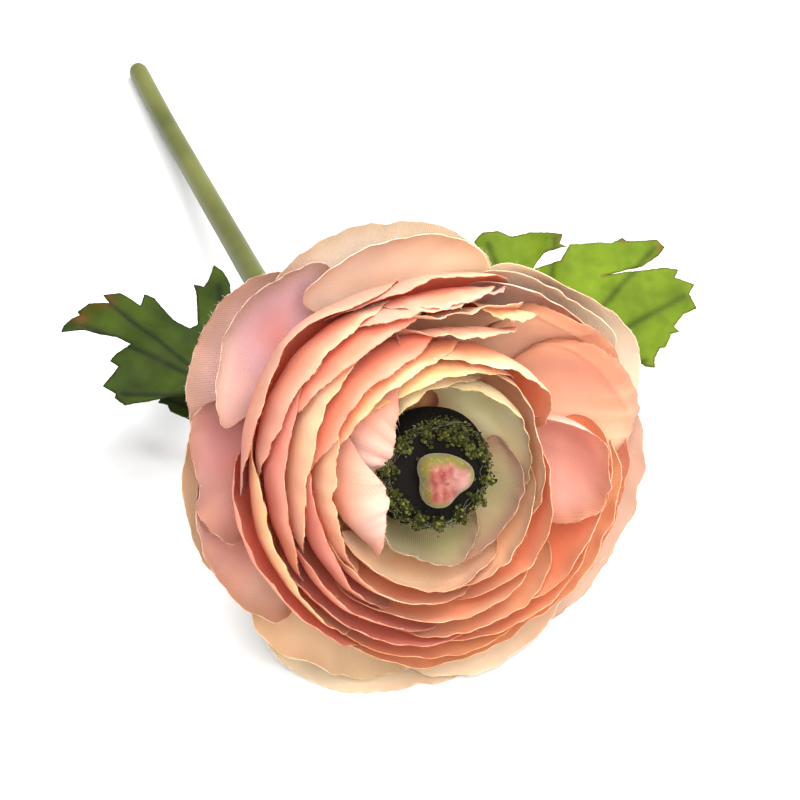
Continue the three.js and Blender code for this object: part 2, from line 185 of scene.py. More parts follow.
TABLE_REACH = 3.0
table_finish, wire = start_material("table_white")
close_material(wire, (0.68, 0.68, 0.685, 1), 0.75, Specular_IOR_Level=0.2)
table = put("table", bpy.data.meshes.new("table"))
corners = [(x * TABLE_REACH, y * TABLE_REACH, 0) for x, y in ((-1, -1), (1, -1), (1, 1), (-1, 1))]
table.data.from_pydata(corners, [], [(0, 1, 2, 3)])
table.data.materials.append(table_finish)

# ---------------- stem
# One moulded piece of olive plastic: a smooth tapering stalk with a rounded end, the peg that the
# petal rounds are threaded on, and three thin petioles that carry the leaves.
FACE_TILT = math.radians(22)
BLOOM_BASE = np.array([0, 26.2, 31.3])
ACROSS = np.array([1.0, 0, 0])
UP = np.array([0, math.sin(FACE_TILT), math.cos(FACE_TILT)])
AXIS = np.array([0, -math.cos(FACE_TILT), math.sin(FACE_TILT)])


def unit(vectors):
    """Vectors at length 1."""
    return vectors / (np.linalg.norm(vectors, axis=-1, keepdims=True) + 1e-9)


def placed(origin, axes, *amounts):
    """Points at the given amounts along three axes from an origin, in mm."""
    for axis, amount in zip(axes, np.broadcast_arrays(*amounts)):
        origin = origin + np.multiply.outer(amount, axis)
    return origin


def in_bloom(radius, turn, height):
    """Points at a radius and a turn round the bloom's axis, at a height along it, in mm."""
    return placed(BLOOM_BASE, (ACROSS, UP, AXIS), radius * np.cos(turn), radius * np.sin(turn), height)


def eased(x):
    """Runs smoothly from 0 to 1 as x does."""
    t = np.clip(x, 0, 1)
    return t * t * (3 - 2 * t)


def grid_faces(rows, columns, start=0, closed=False):
    """The quads of a grid of vertices laid row by row, its last column joined to its first if closed."""
    index = np.arange(rows * columns).reshape(rows, columns) + start
    if closed:
        index = np.column_stack([index, index[:, :1]])
    corners = (index[:-1, :-1], index[:-1, 1:], index[1:, 1:], index[1:, :-1])
    return np.stack([corner.ravel() for corner in corners], axis=1)


def new_piece(name, points, faces, material, slot, node, smooth=True):
    """A mesh piece from points in mm: it rides on the root body and stands for a CAD node."""
    mesh = bpy.data.meshes.new(name)
    points = np.asarray(points, float).reshape(-1, 3) * MM
    mesh.from_pydata(points.tolist(), [], [list(map(int, face)) for face in faces])
    mesh.materials.append(material)
    mesh.polygons.foreach_set("use_smooth", [smooth] * len(mesh.polygons))
    mesh.update()
    piece = put(name, mesh)
    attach(piece, "root")
    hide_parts(node)
    return piece


def evenly(path, count):
    """A line of points sampled again at equal steps along its length."""
    path = np.asarray(path, float)
    length = np.r_[0, np.cumsum(np.linalg.norm(np.diff(path, axis=0), axis=1))]
    steps = np.linspace(0, length[-1], count)
    return np.column_stack([np.interp(steps, length, column) for column in path.T])


def smooth_path(points, count):
    """A Catmull-Rom curve through the points, sampled at equal steps along its length."""
    points = np.asarray(points, float)
    padded = np.vstack([2 * points[0] - points[1], points, 2 * points[-1] - points[-2]])
    t = np.linspace(0, 1, 24, endpoint=False)[:, None]
    runs = [
        0.5 * (2 * b + (c - a) * t + (2 * a - 5 * b + 4 * c - d) * t**2 + (3 * b - a - 3 * c + d) * t**3)
        for a, b, c, d in zip(padded, padded[1:], padded[2:], padded[3:])
    ]
    return evenly(np.vstack([*runs, points[-1:]]), count)


def fan(pole, ring):
    """The triangles from a pole to each edge of a ring of vertices."""
    return [[pole, a, b] for a, b in zip(ring, [*ring[1:], ring[0]])]


def sweep(path, radius, sides):
    """A round bar: rings of the given radii square to a path, with each end closed by a pole."""
    along = unit(np.gradient(path, axis=0))
    side = unit(np.cross(along, [0, 0, 1.0]))
    over = np.cross(side, along)
    turn = np.linspace(0, 2 * math.pi, sides, endpoint=False)
    spokes = np.cos(turn)[None, :, None] * side[:, None] + np.sin(turn)[None, :, None] * over[:, None]
    rings = path[:, None] + np.asarray(radius)[:, None, None] * spokes
    points = np.vstack([rings.reshape(-1, 3), path[:1], path[-1:]])
    faces = [list(face[::-1]) for face in grid_faces(len(path), sides, closed=True)]
    last = len(path) * sides
    return points, faces + fan(last, range(sides)) + fan(last + 1, range(last - 1, last - sides - 1, -1))


def join(parts):
    """Several (points, faces) meshes as one."""
    points, faces, start = [], [], 0
    for some_points, some_faces in parts:
        points.append(np.asarray(some_points).reshape(-1, 3))
        faces += [[index + start for index in face] for face in some_faces]
        start += len(points[-1])
    return np.vstack(points), faces


CALYX_TOP = -1.0
STEM_FOOT_RADIUS = 2.65
STEM_TIP_RADIUS = 2.1
STEM_PATH = [
    in_bloom(0, 0, CALYX_TOP - 1), [0, 33.6, 28.3], [-0.4, 52, 21.6], [-0.4, 72, 16.2], [0.2, 94.5, 12],
    [1.1, 111, 9.3], [1.9, 128.5, 7], [2.6, 147, 5], [3.3, 167, 3.25], [4.2, 189.2, STEM_TIP_RADIUS],
]
STEM_RINGS = 160
DOME_START = 0.985
PEG_RADIUS = 1.5
stem_line = smooth_path(STEM_PATH, STEM_RINGS)
share = np.linspace(0, 1, STEM_RINGS)
dome = np.clip((share - DOME_START) / (1 - DOME_START), 0, 1)
taper = STEM_FOOT_RADIUS + (STEM_TIP_RADIUS - STEM_FOOT_RADIUS) * share
peg_line = in_bloom(0, 0, np.linspace(-4, 12.6, 8))

LEAVES = {
    "leaf_left": dict(
        base=[-17.4, 56.1, 18], along=[-0.408, 0.865, 0.292], facing=[0.151, -0.252, 0.956],
        branch=0.1, neck=[2, 0.6], heading=8,
    ),
    "leaf_right": dict(
        base=[44.4, 42.1, 28], along=[0.983, -0.165, 0.076], facing=[-0.15, -0.501, 0.852],
        branch=0.06, neck=[-8.5, -8.5], heading=45,
    ),
    "leaf_small": dict(
        base=[-19, 64.8, 8], along=[-0.618, 0.777, 0.119], facing=[0, -0.151, 0.988],
        branch=0.16, neck=[0.8, 0.8], heading=10,
    ),
}
PETIOLE_RADIUS = 0.9
PETIOLE_DROP = 1.5


def on_leaf(leaf, x, y, height):
    """Points on a leaf's own plane, in mm: x along it, y across it and a height above it."""
    normal = unit(np.array(leaf["facing"]))
    forward = unit(np.array(leaf["along"]) - np.dot(leaf["along"], normal) * normal)
    return placed(np.array(leaf["base"], float), (forward, np.cross(normal, forward), normal), x, y, height)


def petiole(leaf):
    """A thin bar from the stem to the underside of a leaf, along the leaf's midrib at its end."""
    heading = math.radians(leaf["heading"])
    x, y = leaf["neck"]
    ends = [
        on_leaf(leaf, x + back * math.cos(heading), y + back * math.sin(heading), height)
        for back, height in ((-9, 2 - PETIOLE_DROP), (-4.5, -PETIOLE_DROP), (1, -PETIOLE_DROP))
    ]
    line = smooth_path([stem_line[int(leaf["branch"] * (STEM_RINGS - 1))], *ends], 36)
    along = np.linspace(0, 1, 36)
    return sweep(line, (PETIOLE_RADIUS + 0.5 * (1 - along) ** 2) * np.sqrt(1 - 0.9 * along**24), 16)


plastic, wire = start_material("stem_plastic")
place = wire.node("TexCoord", output=3)
mottle = place.noise(90, 3)
tone = wire.mix(mottle.ease(0.3, 0.7), paint("464a18"), paint("575a26"))
tone = wire.mix(place.noise(35, 1).ease(0.45, 0.75) * 0.5, tone, paint("6a6c36"))
close_material(
    wire,
    tone,
    mottle * 0.15 + 0.38,
    bump=(place.noise(1500, 2), 0.12, 0.3),
    Specular_IOR_Level=0.45, Subsurface_Weight=0.15, Subsurface_Radius=(1.0, 0.9, 0.4), Subsurface_Scale=MM,
)
stalk = sweep(stem_line, taper * np.sqrt(1 - 0.86 * dome**2), 40)
peg = sweep(peg_line, np.full(8, PEG_RADIUS), 20)
petioles = [petiole(leaf) for leaf in LEAVES.values()]
new_piece("moulded_stem", *join([stalk, peg, *petioles]), plastic, "stem_plastic", "stem")

# ---------------- calyx
# A thin green plastic cup with five blunt sepals that is pressed on the peg behind the petals.
# The cup is turned; each sepal is a leaf-shaped blade bent back over the cup's lip.
CUP = [
    (2.95, -9), (3.85, -9), (4.1, -7.5), (4.75, -4.5), (5.9, -2.6), (6.6, -1.6), (6.6, -1), (2.95, -1),
    (2.95, -9),
]
SEPALS = 5
SEPAL_WALL = 0.7


def turned(profile, sides, ripple=None):
    """A lathe form about the bloom's axis: a ring at each (radius, height), its radius rippled."""
    profile = np.asarray(profile, float)
    turn = np.linspace(0, 2 * math.pi, sides, endpoint=False)
    wave = np.ones(sides) if ripple is None else ripple(turn)
    rings = in_bloom(profile[:, :1] * wave, turn[None], profile[:, 1:])
    return rings.reshape(-1, 3), [face[::-1] for face in grid_faces(len(profile), sides, closed=True)]


def normals_of(surface):
    """The unit normals of a grid of points: its columns' direction crossed with its rows'."""
    return unit(np.cross(np.gradient(surface, axis=1), np.gradient(surface, axis=0)))


def thickened(surface, thickness):
    """A grid of points given a wall: two faces half the thickness either side, joined at the edges."""
    rows, columns = surface.shape[:2]
    half = normals_of(surface) * thickness / 2
    faces = [list(face) for face in grid_faces(rows, columns)]
    faces += [list(face[::-1]) for face in grid_faces(rows, columns, start=rows * columns)]
    index = np.arange(rows * columns).reshape(rows, columns)
    loop = np.concatenate([index[0], index[1:, -1], index[-1, -2::-1], index[-2:0:-1, 0]])
    following = np.roll(loop, -1)
    shift = rows * columns
    faces += [[b, a, a + shift, b + shift] for a, b in zip(loop, following)]
    return np.stack([surface + half, surface - half]).reshape(-1, 3), faces


def sepal(turn):
    """A blade that narrows as the root of 1 - 0.9 v squared and bends back by 1.5 v squared."""
    v, u = np.meshgrid(np.linspace(0, 1, 18), np.linspace(-1, 1, 15), indexing="ij")
    radius = 5 + 9 * v
    half = 3.1 * np.sqrt(1 - 0.9 * v**2) / radius
    keel = 0.5 * (1 - np.abs(u)) * (1 - v)
    return in_bloom(radius, turn + half * u, -1.45 - 1.5 * v**2 - keel)


leafy_plastic, wire = start_material("calyx_plastic")
place = wire.node("TexCoord", output=3)
blotch = place.noise(220, 3)
close_material(
    wire,
    wire.mix(blotch.ease(0.35, 0.7), paint("4a552a"), paint("6b7542")),
    blotch * 0.2 + 0.4,
    bump=(place.noise(1200, 2), 0.2, 0.3),
)
turns = [math.radians(360 / SEPALS * i + 18) for i in range(SEPALS)]
cup = [turned(evenly(CUP, 60), 64), *[thickened(sepal(turn), SEPAL_WALL) for turn in turns]]
new_piece("calyx_cup", *join(cup), leafy_plastic, "calyx_plastic", "calyx")

# ---------------- petals
# Ten rounds of die-cut satin petals threaded on the peg, the widest first. Each petal was dyed
# by hand from a deep orange foot to a pale rim, and pressed while damp into a shallow bowl.
TIERS = 10
HUB_BORE = 1.8
HUB_PITCH = 1.3
HUB_HEIGHT = 0.95
HUB_RADIUS = 5.4
SATIN = 0.12
SATIN_PITCH = 0.52
FRAYS = 90
LONGEST_FRAY = 0.75
FRAY_WIDTH = 0.035
FLOOR_LIFT = 0.25
TABLE_PITCH = 0.82
BOWLS = np.array(
    [
        [[4, 0.5], [22, -1], [35, 1], [43, 9]],
        [[4, 6.35], [24, 6.35], [33, 18], [29.5, 31]],
        [[4, 12.2], [10, 12.2], [14.5, 20], [12.5, 28]],
    ]
)
GATHER = [  # hundredths of the way from the open bowl to the closed one
    [0, 20, 2, -2, 6, 0, -5, -3],
    [6, 26, 12, 9, 14, 11, 10, 7],
    [16, 33, 40, 34, 38, 41, 34, 20],
    [24, 42, 48.5, 44, 46.5, 48, 43, 32],
    [32, 51, 56, 52, 55, 55, 52, 44],
    [40, 59, 64, 62, 64, 62, 61, 55],
    [50, 69, 71, 70, 72, 70, 69, 68],
    [83, 75, 77, 78, 79, 78, 76, 78],
    [88, 82, 83, 86, 87, 86, 84, 86],
    [93, 89, 91, 99, 103, 99, 93, 94],
]
LAP = 0.25
RUFFLE = 0.12
SHOULDER = 0.62
ROOT_HALF_ANGLE = math.radians(21)


def on_bowl(bowl, s):
    """Radius and height at s along a bowl: three cubic Bezier bowls blended by a parabola."""
    blend = np.stack([(2 * bowl - 1) * (bowl - 1), 4 * bowl * (1 - bowl), bowl * (2 * bowl - 1)])
    power = np.stack([(1 - s) ** 3, 3 * s * (1 - s) ** 2, 3 * s**2 * (1 - s), s**3])
    return np.einsum("b...,bki,k...->i...", blend, BOWLS, power)


def bowl_of(tier, turn, s):
    """The bowl of a round: an even step a round at the foot, and at the rim its share from GATHER,
    which holds eight places round the bloom and is eased from one to the next."""
    tier = min(max(tier, 0), TIERS - 1)
    place = np.mod(np.degrees(turn), 360) / 45
    place_before = np.floor(place).astype(int)
    shares = np.array(GATHER[tier]) / 100
    before, after = shares[place_before % 8], shares[(place_before + 1) % 8]
    gathered = before + (after - before) * eased(place - place_before)
    start = tier / (TIERS - 1)
    return start + (gathered - start) * eased(s / 0.7)


def wander(seed, waves, x):
    """A smooth random curve from about -1 to 1: a sum of sine waves up to the given number."""
    random = np.random.default_rng(seed)
    number = random.uniform(0.3, 1, 7) * waves
    phase = random.uniform(0, 2 * math.pi, 7)
    return np.sin(np.multiply.outer(x, number) * math.pi + phase).sum(axis=-1) / 3.2


COLUMNS = 84
ROWS = 30
GUARD_TIERS = 2
GUARD_DYE_DEPTH = 22
PETAL_DYE_DEPTH = 7
# The inner face of a petal is darker and warmer near its rim: these factors per channel, fading over about
# this many mm.
INNER_RIM_DARKENING = np.array([0.56, 0.4, 0.24])
INNER_RIM_DARKENING_DEPTH = 5


def petal_sheet(
    tier, seed, angle, half, reach, dye, cup=0.22, over=0.0, notches=(), point=0.0, lean=0.0, flop=0.0,
    curl=0.0, frill=0.16, press=0.0, deep=0, soaked=1.0,
):
    """One petal as a grid of points, u across it and v up it, with its outward normals, the dye of its
    outer face and the colour of its inner face, darker and warmer near the rim, the distance to its
    rim and its cloth map. It lies on its round's bowl, one side over its neighbour; over, lean and
    flop shift its rim to a further or nearer bowl."""
    u = np.sin(np.linspace(-1, 1, COLUMNS) * math.pi / 2)
    v = 1 - (1 - np.linspace(0, 1, ROWS)) ** 1.5
    rim = SHOULDER + (1 - SHOULDER) * np.maximum(1 - np.abs(u) ** 2.6, 0) ** 0.45
    for where, depth, width in notches:
        rim -= depth * np.exp(-np.abs(u - where) / width)
    rim += point * np.exp(-((u / 0.3) ** 2)) + 0.01 * wander(seed, 7, u) + 0.004 * wander(seed + 1, 60, u)
    v, u = np.meshgrid(v, u, indexing="ij")
    s = v * reach * rim
    flare = ROOT_HALF_ANGLE + (math.radians(half) - ROOT_HALF_ANGLE) * eased((s - 0.25) / 0.4)
    middle = math.radians(angle)
    turn = middle + flare * u
    bowl = bowl_of(tier, turn, s)
    above = bowl_of(tier + 1, turn, s) - bowl if tier < TIERS - 1 else 0.1
    below = bowl - bowl_of(tier - 1, turn, s) if tier > 0 else 0.1
    share = u * LAP + cup * np.abs(u) ** 2.4 * v + RUFFLE * wander(seed + 2, 2.4, u) * v**3
    bowl = bowl + share * np.where(share > 0, above, below) * (0.15 + 0.85 * eased(s / 0.5))
    bowl = bowl + (over * (1 - u**2) + lean * u + flop) * v**4
    radius, height = on_bowl(bowl, s)
    points = in_bloom(radius, turn, height)
    normal = normals_of(points)
    step = np.linalg.norm(np.diff(points, axis=0), axis=2)
    to_tip = np.vstack([np.cumsum(step[::-1], axis=0)[::-1], np.zeros((1, COLUMNS))])
    side = np.linalg.norm(np.diff(points, axis=1), axis=2)
    from_left = np.column_stack([np.zeros(ROWS), np.cumsum(side, axis=1)])
    to_side = np.minimum(from_left, from_left[:, -1:] - from_left)
    to_rim = np.minimum(to_tip, to_side + 0.02)
    bend = curl * np.clip(1 - to_tip / 5.5, 0, 1) ** 2
    groove = press * np.exp(-(((to_tip - 3.4 - 0.5 * wander(seed + 3, 2, u)) / 0.6) ** 2))
    crumple = 0.12 * wander(seed + 4, 5, u + 0.6 * v) * v + frill * wander(seed + 8, 11, u) * v**9
    points = points + normal * (bend - groove + crumple)[:, :, None]
    floor = FLOOR_LIFT + TABLE_PITCH * (2 * tier + np.maximum(u, 0) ** 4)
    above = points[:, :, 2] - floor
    pressed = 0.5 * np.logaddexp(0, above / 0.5)
    points[:, :, 2] = floor + pressed
    points[:, :, 1] -= pressed - above
    deep = deep or (GUARD_DYE_DEPTH if tier < GUARD_TIERS else PETAL_DYE_DEPTH)
    outer = dye_of(dye, u, v, to_rim, deep, seed)
    # The inner face darkens and warms towards its rim, by the share each petal gives.
    inner = outer * (1 + soaked * (INNER_RIM_DARKENING - 1) * np.exp(-((to_rim / INNER_RIM_DARKENING_DEPTH) ** 2))[:, :, None])
    cloth = np.stack([(turn - middle) * np.maximum(radius, 8), s * 44], axis=2)
    grain = np.random.default_rng(seed + 9).uniform(-0.7, 0.7)
    cloth = cloth @ np.array([[math.cos(grain), math.sin(grain)], [-math.sin(grain), math.cos(grain)]])
    return points, normal, outer, inner, to_rim, cloth


# Each dye: the foot, the face, the rim, and spots of a second dye at (u, v, size, code).
DYES = {
    "old_rose": ("eaa890", "e2d4ca", "e8dacc", [(0.7, 0.9, 0.5, "e8d6bc")]),
    "dusk": ("e09a8a", "d2a5a0", "c8a096", [(-0.5, 0.9, 0.5, "d0a29a")]),
    "rose": ("e08a82", "cba0aa", "d2a8aa", [(0.6, 0.9, 0.4, "e6c2b0")]),
    "deep_rose": ("dc6a5c", "cc8686", "d49086", [(0.5, 0.9, 0.5, "d8a090")]),
    "coral_rose": ("e27c6a", "da968c", "dea494", [(0.8, 0.9, 0.6, "e6c6ac"), (-0.8, 0.9, 0.3, "dea6a0")]),
    "pale_peach": ("f0b890", "e8dac2", "f0e0c8", [(-0.7, 0.8, 0.6, "f2e6c4")]),
    "butter": ("f0b880", "f0dab0", "e6d8b0", [(-0.6, 0.8, 0.5, "ecca9e")]),
    "cream": ("f0b488", "f4e8cc", "faf0d8", [(0.5, 0.9, 0.5, "e8ccae")]),
    "shell": ("ee9a78", "e8bfac", "dcbca8", [(0.5, 0.8, 0.5, "e2bea8")]),
    "peach": ("f4a468", "f8d2a6", "f6d8b0", [(-0.7, 0.8, 0.6, "f8dcae")]),
    "biscuit": ("ee8450", "d89a78", "e2b08c", [(0.8, 0.6, 0.5, "d9654a")]),
    "petal_rose": ("f08850", "e29a70", "f0c096", [(0.5, 0.8, 0.5, "e4a084")]),
    "salmon": ("f2a478", "f4bf98", "ecb890", [(0.4, 0.6, 0.5, "f2b894")]),
    "glow": ("f6b48c", "fcdcb4", "eec096", [(0.4, 0.6, 0.5, "fcd2ac")]),
    "pink": ("f09e86", "eebaa6", "e8bea8", [(0, 0.5, 0.5, "eeb4a2")]),
    "hot_pink": ("ea7248", "e07a62", "e6947c", [(0.8, 0.9, 0.5, "efae76")]),
    "coral": ("ee7844", "f0865c", "f0a27e", []),
    "apricot": ("f29a58", "f8c68a", "f8dcac", [(-0.5, 0.8, 0.5, "f8ca98")]),
    "orange": ("f08848", "f8ac68", "f8d09a", []),
    "gold": ("f09850", "ecae66", "f2ca8a", [(0.5, 0.85, 0.4, "f4d084")]),
    "blush": ("ee9464", "e8a286", "ebac92", [(0.5, 0.7, 0.5, "dfb4a6")]),
    "champagne": ("eeb074", "f8dcac", "f0cc98", [(0.4, 0.8, 0.5, "f4c498")]),
    "lime": ("dcc878", "faf4c4", "e0cc94", [(0.2, 0.5, 0.6, "e4e0a0")]),
    "moss_green": ("6c6a2c", "aca058", "c8b27a", [(0, 0.3, 0.6, "8c8a44")]),
    "moss_pink": ("9a9a54", "cfb080", "e0a890", [(0, 0.3, 0.6, "b4a868")]),
}


def dye_of(name, u, v, to_rim, deep, seed):
    """Foot to face to rim by smooth steps of the way from the rim: the foot's dye is full at the
    depth given, the rim's is gone at a bit under half of it; then the spots, then an uneven soak."""
    foot, face, rim, spots = DYES[name]
    soak = 0.12 * wander(seed + 5, 3, u)
    colour = dyed(face) + (dyed(foot) - dyed(face)) * eased((to_rim / deep - 0.3 + soak) / 0.7)[:, :, None]
    pale = eased(1 - to_rim / (deep * (0.42 + 0.12 * wander(seed + 6, 3, u))))[:, :, None]
    colour = colour + (dyed(rim) - colour) * pale
    for x, y, size, code in spots:
        patch = np.exp(-(((u - x) / size) ** 2) - (((v - y) / size) ** 2))[:, :, None]
        colour = colour + (dyed(code) - colour) * patch * eased(1.2 - to_rim / deep)[:, :, None]
    return colour * (1 + 0.05 * wander(seed + 7, 4, u + v))[:, :, None]


def spikes(corners, tips):
    """Closed three-sided spikes from three corners each to a tip."""
    base = np.arange(len(tips))[:, None] * 4
    faces = [base + np.array(face) for face in ((0, 1, 3), (1, 2, 3), (2, 0, 3), (2, 1, 0))]
    return np.stack([*corners, tips], axis=1).reshape(-1, 3), np.concatenate(faces).tolist()


def frays(points, normal, seed, count):
    """Cut threads along a petal's rim, leaning out of the cloth at random."""
    random = np.random.default_rng(seed + 11)
    column = random.integers(3, COLUMNS - 3, count)
    outward = unit(points[-1, column] - points[-3, column])
    sideways = unit(points[-1, column + 1] - points[-1, column - 1])
    up = normal[-1, column]
    foot = points[-1, column] + sideways * random.uniform(-0.4, 0.4, (count, 1)) - outward * 0.1
    length = LONGEST_FRAY * random.uniform(0.15, 1, (count, 1)) ** 2.2 + 0.15
    aim = outward + sideways * random.normal(0, 0.55, (count, 1)) + up * random.normal(0, 0.3, (count, 1))
    rows = ((1, 0), (-0.5, 1), (-0.5, -1))
    return spikes([foot + (sideways * x + up * y) * FRAY_WIDTH for x, y in rows], foot + length * aim)


def start_cloth(name, pitch):
    """A material's start with a piece's dye, its distance to the rim, its flat map and a plain weave:
    the sines of both cloth directions, multiplied, with the given pitch in mm."""
    material, wire = start_material(name)
    dye = wire.node("Attribute", attribute_name="dye", output=0)
    rim = wire.node("Attribute", attribute_name="to_rim", output=2)
    cloth = wire.node("UVMap", uv_map="cloth")
    ways = [wire.node("SeparateXYZ", {0: cloth}, output=way) * (2 * math.pi / pitch / MM) for way in (0, 1)]
    return material, wire, dye, rim, cloth, wire.math("SINE", ways[0]) * wire.math("SINE", ways[1])


def satin_material(name, pale_edge, through, glow):
    """Woven satin: the dye on the cloth with a weave, an uneven pale cut edge and a soft sheen."""
    material, wire, dye, rim, cloth, weave = start_cloth(name, SATIN_PITCH)
    place = wire.node("TexCoord", output=3)
    slub = cloth.noise(900, 2)
    stain = place.noise(160, 3)
    deeper = wire.mix(1.0, dye, dye, "MULTIPLY")
    tone = wire.mix(stain.ease(0.35, 0.75) * 0.14, dye, deeper)
    tone = wire.mix((weave * 0.5 + 0.5) * 0.22, tone, (1, 0.93, 0.82, 1))
    edge = 1 - rim.ease(0.02, 0.3)
    tone = wire.mix(edge * slub * (0.5 * pale_edge), tone, paint("f4dcc4"))
    # Near the cut edge the colour darkens further in random patches.
    soaked = wire.mix(1.0, tone, dye, "MULTIPLY")
    tone = wire.mix(edge * place.noise(500, 2).ease(0.4, 0.6) * 0.7, tone, soaked)
    close_material(
        wire,
        tone,
        slub * 0.12 + 0.6,
        bump=(weave * 0.6 + slub * 0.8, 0.45, 0.12),
        through=through, glow=glow, Specular_IOR_Level=0.3, Sheen_Weight=0.15, Sheen_Roughness=0.45,
    )
    return material


def dye_points(piece, colour):
    """Stores a linear colour at every vertex of a piece, for its material to read."""
    layer = piece.data.attributes.new("dye", "FLOAT_COLOR", "POINT")
    layer.data.foreach_set("color", np.column_stack([np.clip(colour, 0, 1), np.ones(len(colour))]).ravel())


def dye_cloth(piece, colour, to_rim, cloth):
    """Stores a cloth piece's dye, its distance to the rim and its flat map, both in mm."""
    mesh = piece.data
    dye_points(piece, colour)
    mesh.attributes.new("to_rim", "FLOAT", "POINT").data.foreach_set("value", np.ravel(to_rim))
    corner = np.empty(len(mesh.loops), int)
    mesh.loops.foreach_get("vertex_index", corner)
    mesh.uv_layers.new(name="cloth").data.foreach_set("uv", (cloth[corner] * MM).ravel())


def petal_round(tier, material, slot):
    """One round: every petal with its wall and its frays, on the hub that sits on the peg."""
    blocks, tables = [], []

    def add(block, *values):
        """Adds a mesh with its dye, its distance to the rim and its cloth map."""
        blocks.append(block)
        spread = [np.broadcast_to(value, (len(block[0]), np.shape(value)[-1])) for value in values]
        tables.append(np.hstack(spread))

    for number, petal in enumerate(ROUNDS[tier]):
        seed = 1000 + tier * 50 + number
        points, normal, outer, inner, to_rim, cloth = petal_sheet(tier, seed, **petal)
        rim, cloth = (np.tile(value.reshape(ROWS * COLUMNS, -1), (2, 1)) for value in (to_rim, cloth))
        add(thickened(points, SATIN), np.stack([outer, inner]).reshape(-1, 3), rim, cloth)
        add(frays(points, normal, seed, FRAYS), dyed("f4dcc0"), [0.3], [0, 0])
    foot, top = tier * HUB_PITCH, tier * HUB_PITCH + HUB_HEIGHT
    hub = [(HUB_BORE, foot), (HUB_RADIUS, foot), (HUB_RADIUS, top), (HUB_BORE, top), (HUB_BORE, foot)]
    add(turned(hub, 40), dyed("e58a5a"), [9.0], [0, 0])
    number = f"{tier + 1:02d}"
    piece = new_piece(f"satin_round_{number}", *join(blocks), material, slot, f"petal_round_{number}")
    dye_cloth(piece, *np.split(np.vstack(tables), (3, 4), axis=1))


def cut(angle, half, reach, dye, **form):
    """A petal: its turn and half width in degrees, its reach up the bowl, its dye and its form."""
    return dict(angle=angle, half=half, reach=reach, dye=dye, **form)


ROUNDS = [
    [
        cut(88, 36, 0.88, "old_rose", notches=[(-0.1, 0.05, 0.12)], soaked=0.7),
        cut(139, 30, 0.9, "dusk", notches=[(0.05, 0.05, 0.1)]), cut(-172, 30, 0.89, "butter", soaked=0.7),
        cut(-105, 35, 1.1, "cream", notches=[(0.2, 0.04, 0.15)], soaked=0.6),
        cut(-43, 32, 1.14, "shell", soaked=0.6), cut(18, 38, 1.1, "cream", soaked=0.4),
    ],
    [
        cut(85, 30, 0.92, "pale_peach", notches=[(-0.15, 0.04, 0.1)], soaked=0.6),
        cut(130, 28, 0.98, "rose"), cut(172, 21, 0.93, "deep_rose"),
        cut(-164, 26, 0.98, "coral_rose", notches=[(0.2, 0.05, 0.12)]),
        cut(-122, 30, 1.02, "butter", soaked=0.7), cut(-76, 28, 1.1, "cream", soaked=0.6),
        cut(-27, 31, 1.12, "shell", soaked=0.5), cut(30, 30, 1.02, "cream", soaked=0.3),
    ],
    [
        cut(36, 28, 0.96, "pale_peach", deep=22, soaked=0.4), cut(82, 32, 0.94, "petal_rose"),
        cut(132, 44, 1, "biscuit", curl=0.4, deep=9), cut(-156, 40, 1, "coral"),
        cut(-92, 42, 0.98, "peach"), cut(-31, 38, 1, "petal_rose"),
    ],
    [
        cut(87, 29, 1, "petal_rose", frill=0.3), cut(131, 38, 1, "petal_rose"),
        cut(-164, 40, 1.02, "gold", frill=0.3), cut(-98, 42, 0.98, "gold"),
        cut(-43, 38, 1, "apricot", frill=0.3), cut(18, 35, 0.66, "peach"),
    ],
    [
        cut(78, 24, 1, "shell", frill=0.3, flop=-0.09, cup=-0.2, deep=14), cut(116, 34, 1, "coral"),
        cut(167, 42, 1, "hot_pink"), cut(-122, 42, 1, "coral"), cut(-64, 40, 0.99, "orange"),
        cut(-10, 38, 0.66, "apricot"), cut(58, 14, 0.97, "gold", cup=-0.4, deep=12),
        cut(24, 23, 1.02, "glow", press=0.4, curl=0.6, cup=0.3, flop=-0.16, deep=26),
    ],
    [
        cut(6, 25, 1.08, "salmon", press=0.3, curl=0.6, cup=0.3, flop=-0.25, lean=0.1, deep=30),
        cut(75, 28, 1, "peach", curl=0.9, frill=0.12, flop=-0.1, cup=-0.1, deep=16, soaked=0.5),
        cut(152, 48, 1, "champagne"), cut(-134, 40, 1, "coral"), cut(-83, 40, 0.98, "apricot"),
        cut(-38, 38, 1, "orange"),
    ],
    [
        cut(-13, 23, 1.03, "pink", curl=0.8, cup=0.8, deep=26),
        cut(72, 24, 1.0, "glow", flop=-0.07, curl=0.5, frill=0.14, cup=0.1, deep=26, soaked=0.3),
        cut(124, 46, 1, "coral"), cut(-164, 48, 1, "hot_pink"), cut(-96, 46, 1, "apricot"),
    ],
    [
        cut(55, 50, 0.98, "apricot"), cut(115, 46, 1, "orange"), cut(176, 46, 1.01, "champagne"),
        cut(-124, 46, 1, "apricot"), cut(-48, 50, 0.98, "orange"),
    ],
    [
        cut(6, 56, 1, "champagne"), cut(84, 48, 1, "gold"),
        cut(137, 42, 1.05, "blush", over=0.19, lean=0.16, point=0.03, deep=16),
        cut(-176, 42, 1.06, "blush", over=0.2, lean=-0.03, point=0.05, deep=16),
        cut(-104, 50, 1, "champagne", deep=14), cut(-58, 50, 1, "apricot", deep=12),
    ],
    [
        cut(28, 60, 1, "lime", deep=16, frill=0.3), cut(104, 54, 0.98, "lime", deep=14),
        cut(176, 50, 0.84, "lime", deep=14), cut(-108, 54, 1, "moss_green", deep=14),
        cut(-44, 50, 0.96, "moss_pink", deep=14),
    ],
]
